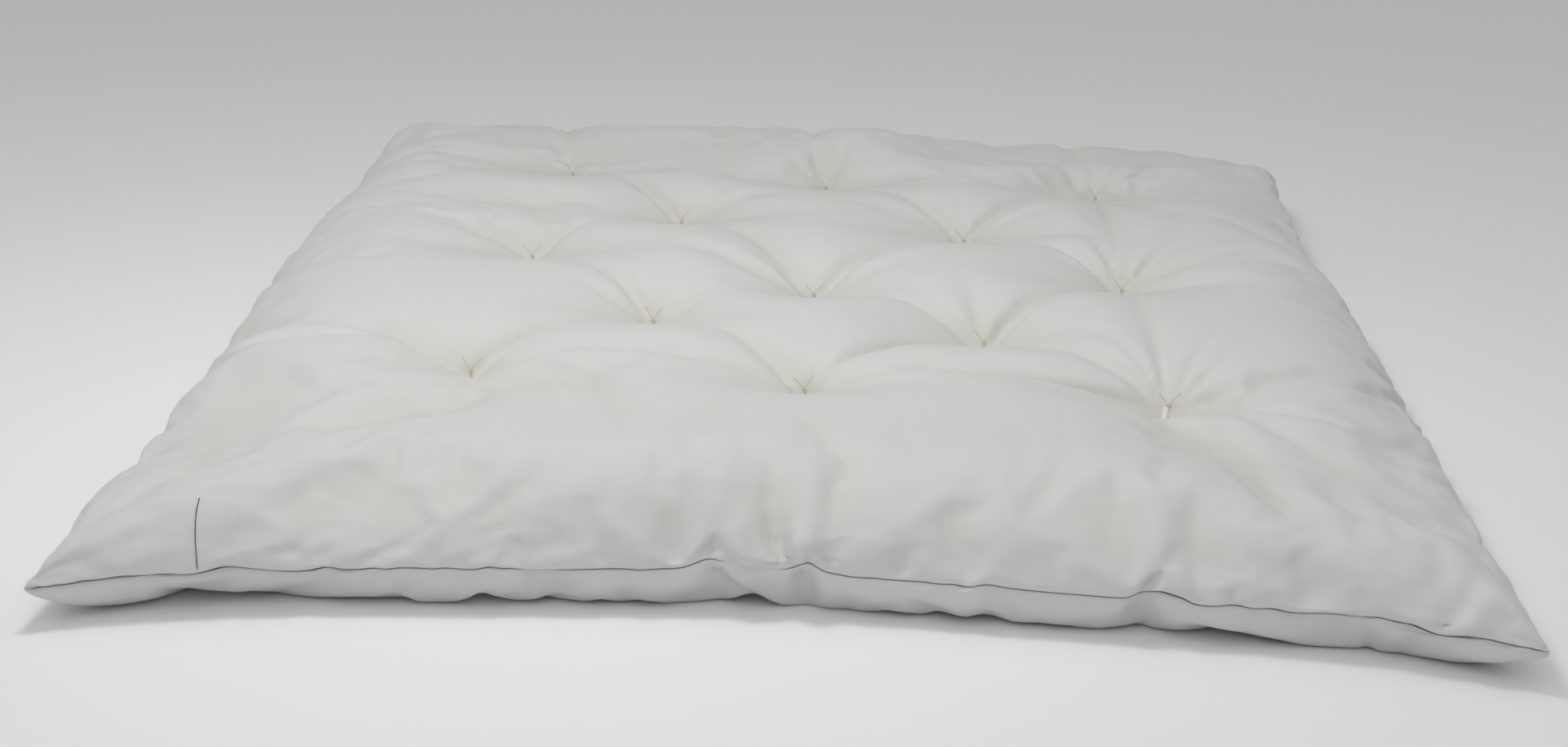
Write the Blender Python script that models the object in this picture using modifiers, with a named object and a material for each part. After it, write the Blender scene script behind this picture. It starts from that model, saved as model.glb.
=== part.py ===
"""A hand-tufted futon mattress: layers of cotton batting in a plain knife-edge cotton casing.

Metres, +Z up. The origin is on the floor under the middle of the mattress, and +Y runs along its
length. Every soft surface is a height over one shared plan grid, so neighbouring pieces stay parallel.
"""

import math

import bmesh
import bpy
from mathutils import Vector

# Overall form
LENGTH = 1.90  # corner to corner along the long side
WIDTH = 1.35  # corner to corner along the short side
THICKNESS = 0.136  # floor to the crown between the tufts
SEAM_HEIGHT = 0.043  # edge seam above the floor, in the middle of a side
CORNER_DROP = 0.003  # how much lower the seam runs at the corners
END_PULL = 0.085  # how far the middle of each short end draws in from its corners
SIDE_PULL = 0.020  # the same on the long sides
TOP_RUN = 0.20  # distance from the seam over which the top rises to its crown
UNDER_RUN = 0.08  # distance from the seam over which the underside comes down to the floor

# Tufting: five rows of 3, 2, 3, 2 and 3
COLUMN_PITCH = 0.375  # between the tufts of a row
ROW_PITCH = 0.250  # between rows
TUFT_SHIFT = 0.088  # the tufting sits this far towards the back end
TOP_DIP = 0.049  # depth of a dimple in the top
TOP_DIP_REACH = 0.16
UNDER_DIP = 0.016  # depth of a dimple in the underside
UNDER_DIP_REACH = 0.07
TUFT_STRAYS = (  # how far each tuft was tied off the regular rows, front row first
    (0.010, 0.020), (0.000, 0.000), (0.015, -0.010),
    (0.000, 0.005), (0.010, -0.035),
    (0.005, 0.040), (-0.005, -0.100), (0.000, -0.025),
    (-0.010, 0.010), (-0.005, -0.040),
    (-0.005, 0.045), (-0.010, 0.010), (0.000, 0.005),
)
STRAY_REACH = 0.30  # cloth this near a tuft moves with it
NEEDLE_HOLE = 0.0052  # side of the opening the twine goes through
TWINE_RADIUS = 0.0006
STRAND_OFFSET = 0.0009  # each of the two strands from the middle of the hole
KNOT_RADIUS = 0.0038
KNOT_SEAT = 0.006  # middle of a knot from the cloth at the hole
TAIL_LENGTH = 0.020
TAIL_RISE = math.radians(56)

# Casing and batting
CLOTH = 0.0008
SEAM_ALLOWANCE = 0.012  # cloth turned inside along the seam
LAYERS = 6
CASING_ROOM = 0.0025  # between the casing's outer face and the batting
GAP = 0.0003  # between touching pieces
EDGE_LINES = (0.035, 0.10)  # first grid lines inside the seam
LARGEST_CELL = 0.13

# Sewing thread
SEAM_THREAD_RADIUS = 0.0004
SEAM_LINE = 0.008  # machine stitching from the folded edge
BLUNT_CORNER = 0.016  # where the stitching turns across a corner
SEAM_THREAD_ROOM = 0.0006  # between the thread and the allowance it runs along
OPENING_HALF = 0.25  # half the filling opening in the back end
CLOSING_STITCHES = 10  # hand stitches in each grid cell of the opening
CLOSING_RISE = 0.0012
LOOSE_THREAD_RADIUS = 0.0005
LOOSE_THREAD_STEP = 0.0025
LOOSE_THREAD_ROUTE = (
    (-0.5335, -0.8983, 0.0443),
    (-0.5336, -0.8992, 0.0480),
    (-0.5339, -0.8985, 0.0520),
    (-0.5344, -0.8968, 0.0560),
    (-0.5350, -0.8950, 0.0600),
    (-0.5357, -0.8932, 0.0640),
    (-0.5364, -0.8913, 0.0680),
    (-0.5370, -0.8891, 0.0720),
    (-0.5376, -0.8868, 0.0760),
    (-0.5380, -0.8844, 0.0800),
    (-0.5384, -0.8819, 0.0840),
    (-0.5387, -0.8790, 0.0880),
    (-0.5389, -0.8760, 0.0915),
    (-0.5390, -0.8723, 0.0950),
    (-0.5390, -0.8679, 0.0985),
    (-0.5389, -0.8630, 0.1020),
)

HALF_WIDTH = WIDTH / 2
HALF_LENGTH = LENGTH / 2


def seam_height(x, y):
    """The seam dips towards the corners, where the casing has no batting under it."""
    return SEAM_HEIGHT - CORNER_DROP * (x / HALF_WIDTH) ** 4 * (y / HALF_LENGTH) ** 4


def plan(x, y):
    """A point of the flat cut panel, moved to where it lies once the mattress is stuffed and tied."""
    u, v = x / HALF_WIDTH, y / HALF_LENGTH
    moved_x = x - SIDE_PULL * u**5 * (1 - v**4)
    moved_y = y - END_PULL * v**5 * (1 - u**4)
    for place, (stray_x, stray_y) in zip(tuft_places(), TUFT_STRAYS):
        share = (1 - min(math.dist((x, y), place) / STRAY_REACH, 1) ** 2) ** 2
        moved_x += share * stray_x
        moved_y += share * stray_y
    return moved_x, moved_y


def edge_distance(x, y):
    """Distance in from the seam, rounded where two sides meet."""
    across, along = HALF_WIDTH - abs(x), HALF_LENGTH - abs(y)
    if min(across, along) <= 0:
        return 0.0
    return (across**-4 + along**-4) ** -0.25


def rise(distance, run, power):
    return 1 - (1 - min(distance / run, 1)) ** power


def tuft_places():
    """Rows of three and rows of two in turn, from the front end to the back."""
    places = []
    for row in range(-2, 3):
        columns = (-1, 0, 1) if row % 2 == 0 else (-0.5, 0.5)
        places += [(c * COLUMN_PITCH, TUFT_SHIFT + row * ROW_PITCH) for c in columns]
    return places


def dip(x, y, depth, reach):
    """A conical dimple round each tuft."""
    near = min(math.dist((x, y), place) for place in tuft_places())
    return depth * (1 - min(near / reach, 1)) ** 2


def top_height(x, y):
    """The casing's outer face on top."""
    seam = seam_height(x, y) + GAP / 2
    crown = (THICKNESS - seam) * rise(edge_distance(x, y), TOP_RUN, 3.4)
    return seam + crown - dip(x, y, TOP_DIP, TOP_DIP_REACH)


def under_height(x, y):
    """The casing's outer face underneath: flat on the floor between the edge and the tufts."""
    seam = seam_height(x, y) - GAP / 2
    return seam * (1 - rise(edge_distance(x, y), UNDER_RUN, 2)) + dip(x, y, UNDER_DIP, UNDER_DIP_REACH)


def grid_lines(first_tuft, last_tuft, pitch, half):
    """Lines across one direction: a cell centred on every tuft, then graded cells out to both seams."""
    count = round((last_tuft - first_tuft) / pitch) + 2
    middle = [first_tuft + (n - 0.5) * pitch for n in range(count)]
    low, high = -half + EDGE_LINES[-1], half - EDGE_LINES[-1]
    return (
        [-half, -half + EDGE_LINES[0]]
        + spread(low, middle[0])
        + middle
        + spread(high, middle[-1])[::-1]
        + [half - EDGE_LINES[0], half]
    )


def spread(start, stop):
    """Even steps from start up to, but without, stop."""
    steps = math.ceil(abs(stop - start) / LARGEST_CELL)
    return [start + (stop - start) * n / steps for n in range(steps)]


X_LINES = grid_lines(-COLUMN_PITCH, COLUMN_PITCH, COLUMN_PITCH / 4, HALF_WIDTH)
Y_LINES = grid_lines(
    TUFT_SHIFT - 2 * ROW_PITCH, TUFT_SHIFT + 2 * ROW_PITCH, ROW_PITCH / 2, HALF_LENGTH
)


def flat_sheet():
    """The cut panel as a flat triangulated grid with a needle hole at each tuft."""
    bm = bmesh.new()
    columns, rows = len(X_LINES) - 1, len(Y_LINES) - 1
    bmesh.ops.create_grid(bm, x_segments=columns, y_segments=rows, size=0.5)
    for v in bm.verts:
        v.co.x = X_LINES[round((v.co.x + 0.5) * columns)]
        v.co.y = Y_LINES[round((v.co.y + 0.5) * rows)]
    for place in tuft_places():
        cut_needle_hole(bm, place)
    for corner in [v for v in bm.verts if len(v.link_faces) == 1]:
        inner = max(corner.link_faces[0].verts, key=lambda v: (v.co - corner.co).length)
        bmesh.ops.connect_verts(bm, verts=[corner, inner])
    bmesh.ops.triangulate(bm, faces=bm.faces, quad_method="FIXED")
    return bm


def cut_needle_hole(bm, place):
    """Opens a small square in the middle of the cell that the tuft goes through."""
    middle = Vector((*place, 0))
    cell = min(bm.faces, key=lambda f: (f.calc_center_median() - middle).length)
    bmesh.ops.inset_individual(bm, faces=[cell], thickness=NEEDLE_HOLE)
    for v in cell.verts:
        side = Vector((math.copysign(1, v.co.x - middle.x), math.copysign(1, v.co.y - middle.y), 0))
        v.co = middle + side * NEEDLE_HOLE / 2
    bmesh.ops.delete(bm, geom=[cell], context="FACES")


def material(name, colour, roughness):
    found = bpy.data.materials.new(name)
    found.use_nodes = True
    shader = found.node_tree.nodes["Principled BSDF"]
    shader.inputs["Base Color"].default_value = (*colour, 1)
    shader.inputs["Roughness"].default_value = roughness
    shader.inputs["Metallic"].default_value = 0
    return found


def add_object(name, data, finish, smooth=True):
    """Links a mesh or a curve as one named part of the mattress."""
    made = bpy.data.objects.new(name, data)
    PARTS.objects.link(made)
    data.materials.append(material(name, *finish))
    if smooth and isinstance(data, bpy.types.Mesh):
        data.shade_smooth()
        data.set_sharp_from_angle(angle=math.radians(40))
    return made


def mesh_from(bm, name):
    mesh = bpy.data.meshes.new(name)
    bm.to_mesh(mesh)
    bm.free()
    return mesh


def add_panel(name, height, side):
    """One cut panel of the casing: domed, with its seam allowance turned in along the edge."""
    bm = flat_sheet()
    rim = [e for e in bm.edges if e.is_boundary and all(on_edge(v) for v in e.verts)]
    turned = bmesh.ops.extrude_edge_only(bm, edges=rim)["geom"]
    allowance = {v for v in turned if isinstance(v, bmesh.types.BMVert)}
    for v in bm.verts:
        if v in allowance:
            x, y = inside(v.co, SEAM_ALLOWANCE)
            v.co = (*plan(x, y), seam_height(x, y) + side * GAP / 2)
        else:
            v.co = (*plan(*v.co.xy), height(*v.co.xy))
    bmesh.ops.triangulate(bm, faces=bm.faces, quad_method="FIXED")
    if side < 0:
        bmesh.ops.reverse_faces(bm, faces=bm.faces)
    panel = add_object(name, mesh_from(bm, name), CALICO)
    shell = panel.modifiers.new("Cloth", "SOLIDIFY")
    shell.thickness = CLOTH
    shell.offset = -1


def on_edge(v):
    return abs(v.co.x) >= HALF_WIDTH - 1e-6 or abs(v.co.y) >= HALF_LENGTH - 1e-6


def inside(point, inset):
    """The point held back to at least this far from the seam."""
    across, along = HALF_WIDTH - inset, HALF_LENGTH - inset
    return max(-across, min(across, point.x)), max(-along, min(along, point.y))


def add_batting(name, layer):
    """One layer of felted cotton, an even share of the room inside the casing at every place."""
    bm = flat_sheet()
    outer = [v for v in bm.verts if on_edge(v)]
    bmesh.ops.delete(bm, geom=outer, context="VERTS")
    grown = bmesh.ops.extrude_face_region(bm, geom=bm.faces[:])["geom"]
    raised = {v for v in grown if isinstance(v, bmesh.types.BMVert)}
    for v in bm.verts:
        low = under_height(*v.co.xy) + CASING_ROOM
        high = top_height(*v.co.xy) - CASING_ROOM
        share = (high - low) / LAYERS
        z = low + share * (layer + 1) - GAP if v in raised else low + share * layer
        v.co = (*plan(*v.co.xy), z)
    bmesh.ops.recalc_face_normals(bm, faces=bm.faces)
    add_object(name, mesh_from(bm, name), COTTON)


def add_tube(name, points, radius, sides_resolution, finish):
    """A thread through these points, round, with closed ends."""
    curve = bpy.data.curves.new(name, "CURVE")
    curve.dimensions = "3D"
    curve.bevel_depth = radius
    curve.bevel_resolution = sides_resolution
    curve.use_fill_caps = True
    line = curve.splines.new("POLY")
    line.points.add(len(points) - 1)
    for point, place in zip(line.points, points):
        point.co = (*place, 1)
    return add_object(name, curve, finish)


def opening_lines():
    """Grid lines across the filling opening."""
    return [x for x in X_LINES if abs(x) <= OPENING_HALF]


def seam_stations():
    """Grid points along the seam, from one end of the filling opening round to its other end."""
    half = [(x, HALF_LENGTH) for x in X_LINES[:-1] if x >= opening_lines()[-1]]
    half += [(HALF_WIDTH - BLUNT_CORNER, HALF_LENGTH), (HALF_WIDTH, HALF_LENGTH - BLUNT_CORNER)]
    half += [(HALF_WIDTH, y) for y in Y_LINES[-2:0:-1]]
    half += [(HALF_WIDTH, BLUNT_CORNER - HALF_LENGTH), (HALF_WIDTH - BLUNT_CORNER, -HALF_LENGTH)]
    half += [(x, -HALF_LENGTH) for x in X_LINES[-2:0:-1] if x > 0]
    return half + [(-x, y) for x, y in half[::-1]]


def add_seam_thread(name, side):
    """Lockstitch thread along one face of the turned-in seam allowance, above or below the seam."""
    lift = GAP / 2 + CLOTH + SEAM_THREAD_ROOM + SEAM_THREAD_RADIUS
    points = []
    for x, y in seam_stations():
        x, y = inside(Vector((x, y)), SEAM_LINE)
        points.append((*plan(x, y), seam_height(x, y) + side * lift))
    add_tube(name, points, SEAM_THREAD_RADIUS, 1, THREAD)


def add_closing_thread():
    """Hand stitches that draw the filling opening shut, over and under the folded edges."""
    inner = opening_lines()
    standoff = GAP + 2 * SEAM_THREAD_RADIUS
    points = []
    for start, stop in zip(inner, inner[1:]):
        from_point = Vector((*plan(start, HALF_LENGTH), seam_height(start, HALF_LENGTH)))
        to_point = Vector((*plan(stop, HALF_LENGTH), seam_height(stop, HALF_LENGTH)))
        for n in range(CLOSING_STITCHES):
            place = from_point.lerp(to_point, (n + 0.5) / CLOSING_STITCHES)
            points.append(place + Vector((0, standoff, CLOSING_RISE * (-1) ** n)))
    add_tube("closing_thread", points, SEAM_THREAD_RADIUS, 1, THREAD)


def smooth_route(points, step):
    """Points at even steps along a Catmull-Rom curve through the route."""
    route = [Vector(p) for p in points]
    route = [2 * route[0] - route[1]] + route + [2 * route[-1] - route[-2]]
    fine = []
    for a, b, c, d in zip(route, route[1:], route[2:], route[3:]):
        for n in range(20):
            t = n / 20
            fine.append(
                b + (c - a) * t / 2 + (2 * a - 5 * b + 4 * c - d) * t**2 / 2
                + (3 * b - 3 * c + d - a) * t**3 / 2
            )
    fine.append(route[-2])
    even, travelled = [fine[0]], 0.0
    for p, q in zip(fine, fine[1:]):
        travelled += (q - p).length
        if travelled >= step:
            even.append(q)
            travelled = 0.0
    return even


def cylinder(bm, start, end, radius, sides):
    """A closed round bar between two points."""
    start, end = Vector(start), Vector(end)
    turn = (end - start).to_track_quat("Z", "Y").to_matrix().to_4x4()
    turn.translation = (start + end) / 2
    bmesh.ops.create_cone(
        bm, cap_ends=True, segments=sides, radius1=radius, radius2=radius,
        depth=(end - start).length, matrix=turn,
    )


def knot_piece(name, build):
    """A loose shape of the tuft, kept only until the shapes are joined."""
    bm = bmesh.new()
    build(bm)
    made = bpy.data.objects.new(name, mesh_from(bm, name))
    TUFT_SHAPES.objects.link(made)
    made.hide_render = True
    made.display_type = "WIRE"
    return made


def ball(bm, z):
    bmesh.ops.create_uvsphere(bm, u_segments=6, v_segments=5, radius=KNOT_RADIUS)
    bmesh.ops.translate(bm, verts=bm.verts, vec=(0, 0, z))


def tuft_mesh(stack):
    """Two strands between a knot above and a knot below, with two cut tails, joined into one body."""
    top, under = KNOT_SEAT, -stack - KNOT_SEAT
    shapes = [knot_piece("tuft_knot_under", lambda bm: ball(bm, under))]
    for side in (-1, 1):
        x = side * STRAND_OFFSET
        tip = (
            side * TAIL_LENGTH * math.cos(TAIL_RISE), 0,
            top + TAIL_LENGTH * math.sin(TAIL_RISE),
        )
        shapes.append(knot_piece(
            "tuft_strand", lambda bm: cylinder(bm, (x, 0, top), (x, 0, under), TWINE_RADIUS, 6)
        ))
        shapes.append(knot_piece(
            "tuft_tail", lambda bm: cylinder(bm, (0, 0, top), tip, TWINE_RADIUS, 6)
        ))
    knot = knot_piece("tuft_knot", lambda bm: ball(bm, top))
    TUFT_SHAPES.objects.unlink(knot)
    CUTTERS.objects.link(knot)
    union = knot.modifiers.new("Twine", "BOOLEAN")
    union.operation = "UNION"
    union.operand_type = "COLLECTION"
    union.collection = TUFT_SHAPES
    union.solver = "EXACT"
    bpy.context.view_layer.update()
    joined = bpy.data.meshes.new_from_object(knot.evaluated_get(bpy.context.evaluated_depsgraph_get()))
    for piece in shapes + [knot]:
        bpy.data.objects.remove(piece)
    return joined


def add_tufts():
    """One twine at each tuft, its strands as long as the mattress is thick there."""
    stack = THICKNESS - TOP_DIP - UNDER_DIP
    shared = tuft_mesh(stack)
    for number, (x, y) in enumerate(tuft_places(), 1):
        name = f"tuft_twine_{number:02d}"
        mesh = shared.copy()
        high, low = top_height(x, y), under_height(x, y)
        for v in mesh.vertices:
            if v.co.z < -stack / 2:
                v.co.z += stack - (high - low)
        tuft = add_object(name, mesh, TWINE)
        tuft.location = (*plan(x, y), high)


for stale in list(bpy.data.objects):
    bpy.data.objects.remove(stale)
PARTS = bpy.data.collections.new("futon_mattress")
CUTTERS = bpy.data.collections.new("cutters")
TUFT_SHAPES = bpy.data.collections.new("tuft_shapes")
for collection in (PARTS, CUTTERS, TUFT_SHAPES):
    bpy.context.scene.collection.children.link(collection)

# Colour and roughness of each finish
CALICO = ((0.70, 0.70, 0.66), 0.85)
COTTON = ((0.78, 0.75, 0.67), 0.95)
TWINE = ((0.66, 0.62, 0.54), 0.80)
THREAD = ((0.62, 0.62, 0.58), 0.70)
DARK_THREAD = ((0.07, 0.075, 0.09), 0.70)

add_panel("casing_top_panel", top_height, 1)
add_panel("casing_under_panel", under_height, -1)
for layer in range(LAYERS):
    add_batting(f"batting_layer_{layer + 1}", layer)
add_tufts()
add_seam_thread("seam_needle_thread", 1)
add_seam_thread("seam_bobbin_thread", -1)
add_closing_thread()
add_tube(
    "loose_thread_end", smooth_route(LOOSE_THREAD_ROUTE, LOOSE_THREAD_STEP),
    LOOSE_THREAD_RADIUS, 2, DARK_THREAD,
)
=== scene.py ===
"""Looks of a hand-tufted futon mattress: cotton casing, batting, twine tufts and sewing threads."""

import math

import bmesh
import bpy
import numpy as np
from mathutils import Matrix, Vector
from mathutils.bvhtree import BVHTree


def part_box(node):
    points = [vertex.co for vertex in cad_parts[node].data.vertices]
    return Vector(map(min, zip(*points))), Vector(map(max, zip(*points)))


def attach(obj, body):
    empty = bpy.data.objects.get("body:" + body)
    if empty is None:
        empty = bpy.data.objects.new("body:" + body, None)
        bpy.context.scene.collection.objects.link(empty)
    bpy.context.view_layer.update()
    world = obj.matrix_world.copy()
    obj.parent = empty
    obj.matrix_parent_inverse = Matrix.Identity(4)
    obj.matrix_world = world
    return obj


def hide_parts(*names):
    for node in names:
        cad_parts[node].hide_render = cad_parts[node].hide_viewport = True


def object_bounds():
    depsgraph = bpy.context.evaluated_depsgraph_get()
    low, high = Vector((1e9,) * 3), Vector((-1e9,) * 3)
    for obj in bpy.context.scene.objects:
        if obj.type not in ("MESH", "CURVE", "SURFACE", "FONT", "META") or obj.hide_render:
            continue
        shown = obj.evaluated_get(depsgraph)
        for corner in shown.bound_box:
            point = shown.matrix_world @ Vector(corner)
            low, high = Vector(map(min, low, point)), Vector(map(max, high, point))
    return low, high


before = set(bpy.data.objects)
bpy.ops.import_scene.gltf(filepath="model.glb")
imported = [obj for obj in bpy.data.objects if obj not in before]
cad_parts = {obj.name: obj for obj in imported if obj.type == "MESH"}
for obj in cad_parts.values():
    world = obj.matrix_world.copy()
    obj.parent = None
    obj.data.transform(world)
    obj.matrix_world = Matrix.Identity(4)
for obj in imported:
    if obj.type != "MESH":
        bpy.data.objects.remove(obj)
cad_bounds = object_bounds()

# ---- Camera -------------------------------------------------------------------------------------
# A long lens a few steps in front of the front end, at chest height, held by hand: it is turned and
# rolled very slightly.
camera_place = Vector((0.089, -3.159, 0.923))
camera_pitch = math.radians(16.5)
camera_yaw = math.radians(2.33)
camera_roll = math.radians(1.51)

camera = bpy.data.objects.new("camera", bpy.data.cameras.new("camera"))
bpy.context.scene.collection.objects.link(camera)
camera.data.lens = 61.4
camera.data.sensor_width = 36
camera.matrix_world = (
    Matrix.Translation(camera_place)
    @ Matrix.Rotation(camera_yaw, 4, "Z")
    @ Matrix.Rotation(math.radians(90) - camera_pitch, 4, "X")
    @ Matrix.Rotation(camera_roll, 4, "Z")
)
bpy.context.scene.camera = camera

# ---- Loose thread end ---------------------------------------------------------------------------
# A dark sewing thread left untrimmed where it leaves the front seam. It is two plies laid together,
# limp, and it lies up the flank with a slight bow.
thread_diameter = 0.0010
thread_route = (
    (-0.5335, -0.8983, 0.0443), (-0.5336, -0.8992, 0.0480), (-0.5339, -0.8985, 0.0520),
    (-0.5344, -0.8968, 0.0560), (-0.5350, -0.8950, 0.0600), (-0.5357, -0.8932, 0.0640),
    (-0.5364, -0.8913, 0.0680), (-0.5370, -0.8891, 0.0720), (-0.5376, -0.8868, 0.0760),
    (-0.5380, -0.8844, 0.0800), (-0.5384, -0.8819, 0.0840), (-0.5387, -0.8790, 0.0880),
    (-0.5389, -0.8760, 0.0915), (-0.5390, -0.8723, 0.0950), (-0.5390, -0.8679, 0.0985),
    (-0.5389, -0.8630, 0.1020),
)


def eased(points, steps):
    """A smooth curve through the points, with this many steps between neighbours."""
    p = np.array(points, float)
    p = np.vstack([2 * p[0] - p[1], p, 2 * p[-1] - p[-2]])
    t = np.linspace(0, 1, steps, endpoint=False)[:, None]
    runs = [
        0.5 * (2 * b + (c - a) * t + (2 * a - 5 * b + 4 * c - d) * t**2 + (3 * b - a - 3 * c + d) * t**3)
        for a, b, c, d in zip(p, p[1:], p[2:], p[3:])
    ]
    return np.vstack([*runs, p[-2:-1]])


def add_mesh(name, points, edges, faces):
    """A new object with this mesh, smooth all over."""
    mesh = bpy.data.meshes.new(name)
    numbers = [[tuple(map(int, part)) for part in parts] for parts in (edges, faces)]
    mesh.from_pydata(np.asarray(points).tolist(), *numbers)
    mesh.shade_smooth()
    made = bpy.data.objects.new(name, mesh)
    bpy.context.scene.collection.objects.link(made)
    return made


def add_paths(name, paths, closed=False):
    """Several lines of edges in one object, for a node tree to turn into thread."""
    points, edges = [], []
    for path in paths:
        first, last = len(points), len(points) + len(path) - 1
        points += [tuple(p) for p in path]
        edges += [(n, n + 1) for n in range(first, last)] + ([(last, first)] if closed else [])
    return add_mesh(name, points, edges, [])


def new_tree(name, inputs):
    """A node tree whose named inputs are a path, some sizes and a finish."""
    tree = bpy.data.node_groups.new(name, "GeometryNodeTree")
    tree.interface.new_socket("Path", in_out="INPUT", socket_type="NodeSocketGeometry")
    for label in inputs:
        tree.interface.new_socket(label, in_out="INPUT", socket_type="NodeSocketFloat")
    tree.interface.new_socket("Finish", in_out="INPUT", socket_type="NodeSocketMaterial")
    tree.interface.new_socket("Thread", in_out="OUTPUT", socket_type="NodeSocketGeometry")
    return tree, tree.nodes.new("NodeGroupInput").outputs


def add_node(tree, kind, settings, values):
    """Adds a node: its settings first, then the values or links of its inputs."""
    made = tree.nodes.new(kind)
    for name, setting in settings.items():
        setattr(made, name, setting)
    for name, value in values.items():
        if isinstance(value, bpy.types.NodeSocket):
            tree.links.new(value, made.inputs[name])
        else:
            made.inputs[name].default_value = value
    return made.outputs


def calculated(tree, operation, *values):
    return add_node(tree, "ShaderNodeMath", {"operation": operation}, dict(enumerate(values)))[0]


def close_tree(tree, geometry, finish):
    """Ends a tree: real geometry in the given finish."""
    real = add_node(tree, "GeometryNodeRealizeInstances", {}, {"Geometry": geometry})[0]
    coated = add_node(tree, "GeometryNodeSetMaterial", {}, {"Geometry": real, "Material": finish})[0]
    tree.links.new(coated, tree.nodes.new("NodeGroupOutput").inputs[0])


def twisted_strand():
    """Two plies laid round each other along every path."""
    tree, given = new_tree("twisted_strand", ("Ply Radius", "Lay Radius", "Turn Length", "Step"))
    curve = add_node(tree, "GeometryNodeMeshToCurve", {}, {"Mesh": given["Path"]})[0]
    curve = add_node(
        tree, "GeometryNodeResampleCurve", {"mode": "LENGTH"}, {"Curve": curve, "Length": given["Step"]}
    )[0]
    normal = add_node(tree, "GeometryNodeInputNormal", {}, {})[0]
    tangent = add_node(tree, "GeometryNodeInputTangent", {}, {})[0]
    side = add_node(
        tree, "ShaderNodeVectorMath", {"operation": "CROSS_PRODUCT"}, {0: tangent, 1: normal}
    )[0]
    length = add_node(tree, "GeometryNodeSplineParameter", {}, {})["Length"]
    turns = calculated(tree, "DIVIDE", length, given["Turn Length"])
    turned = calculated(tree, "MULTIPLY", turns, math.tau)
    profile = add_node(
        tree, "GeometryNodeCurvePrimitiveCircle", {}, {"Resolution": 6, "Radius": given["Ply Radius"]}
    )[0]
    joined = tree.nodes.new("GeometryNodeJoinGeometry")
    for start in (0, math.pi):
        angle = calculated(tree, "ADD", turned, start)
        offset = None
        for direction, share in ((normal, "COSINE"), (side, "SINE")):
            reach = calculated(tree, "MULTIPLY", calculated(tree, share, angle), given["Lay Radius"])
            part = add_node(
                tree, "ShaderNodeVectorMath", {"operation": "SCALE"}, {"Vector": direction, "Scale": reach}
            )[0]
            offset = part if offset is None else add_node(
                tree, "ShaderNodeVectorMath", {"operation": "ADD"}, {0: offset, 1: part}
            )[0]
        ply = add_node(tree, "GeometryNodeSetPosition", {}, {"Geometry": curve, "Offset": offset})[0]
        tube = add_node(
            tree, "GeometryNodeCurveToMesh", {},
            {"Curve": ply, "Profile Curve": profile, "Fill Caps": True},
        )[0]
        tree.links.new(tube, joined.inputs[0])
    close_tree(tree, joined.outputs[0], given["Finish"])
    return tree


def grown(name, source, tree, finish, **sizes):
    """The plain mesh that a tree makes of a source object, which it replaces."""
    values = {label.replace("_", " ").title(): size for label, size in sizes.items()}
    values["Finish"] = finish
    modifier = source.modifiers.new("Thread", "NODES")
    modifier.node_group = tree
    for socket in tree.interface.items_tree:
        if socket.name in values:
            modifier[socket.identifier] = values[socket.name]
    evaluated = source.evaluated_get(bpy.context.evaluated_depsgraph_get())
    mesh = bpy.data.meshes.new_from_object(evaluated)
    mesh.name = name
    mesh.shade_smooth()
    bpy.data.objects.remove(source)
    made = bpy.data.objects.new(name, mesh)
    bpy.context.scene.collection.objects.link(made)
    return made


class Socket:
    """An output of a shader node; arithmetic on it adds Math nodes."""

    def __init__(self, finish, output):
        self.finish, self.output = finish, output

    def joined(self, operation, *values):
        return self.finish.node("ShaderNodeMath", {"operation": operation}, dict(enumerate(values)))

    def __add__(self, other):
        return self.joined("ADD", self, other)

    def __sub__(self, other):
        return self.joined("SUBTRACT", self, other)

    def __rsub__(self, other):
        return self.joined("SUBTRACT", other, self)

    def __mul__(self, other):
        return self.joined("MULTIPLY", self, other)

    def __pow__(self, other):
        return self.joined("POWER", self, other)

    __radd__ = __add__
    __rmul__ = __mul__


class Finish:
    """One material, and the single method that adds a node to it."""

    def __init__(self, name, constants):
        self.material = bpy.data.materials.new(name)
        self.material.use_nodes = True
        self.tree = self.material.node_tree
        self.shader = self.tree.nodes["Principled BSDF"]
        self.feed(self.shader, constants)

    def feed(self, node, values):
        for name, value in values.items():
            if isinstance(value, Socket):
                self.tree.links.new(value.output, node.inputs[name])
            else:
                node.inputs[name].default_value = value

    def node(self, kind, settings, values, output=0):
        made = self.tree.nodes.new(kind)
        for name, setting in settings.items():
            setattr(made, name, setting)
        self.feed(made, values)
        return Socket(self, made.outputs[output])

    def noise(self, place, scale, detail=2.0, stretch=(1, 1, 1)):
        spread = self.node("ShaderNodeMapping", {}, {"Vector": place, "Scale": stretch})
        return self.node("ShaderNodeTexNoise", {}, {"Vector": spread, "Scale": scale, "Detail": detail})

    def mixed(self, share, first, second):
        return self.node("ShaderNodeMix", {"data_type": "RGBA"}, {0: share, 6: first, 7: second}, 2)

    def bump(self, height, distance, strength=1.0):
        given = {"Height": height, "Distance": distance, "Strength": strength}
        return self.node("ShaderNodeBump", {}, given)

    def fibrous(self, light, dark, roughness, fuzz):
        """Spun fibre: streaks of two tones and a fine fuzz."""
        place = self.node("ShaderNodeTexCoord", {}, {}, "Object")
        streaks = self.noise(place, 2600.0, 3.0)
        patches = self.noise(place, 120.0, 2.0)
        self.feed(self.shader, {
            "Base Color": self.mixed(streaks * 0.6 + patches * 0.4, dark, light),
            "Roughness": roughness + 0.12 * streaks,
            "Normal": self.bump(streaks, fuzz),
        })


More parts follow.
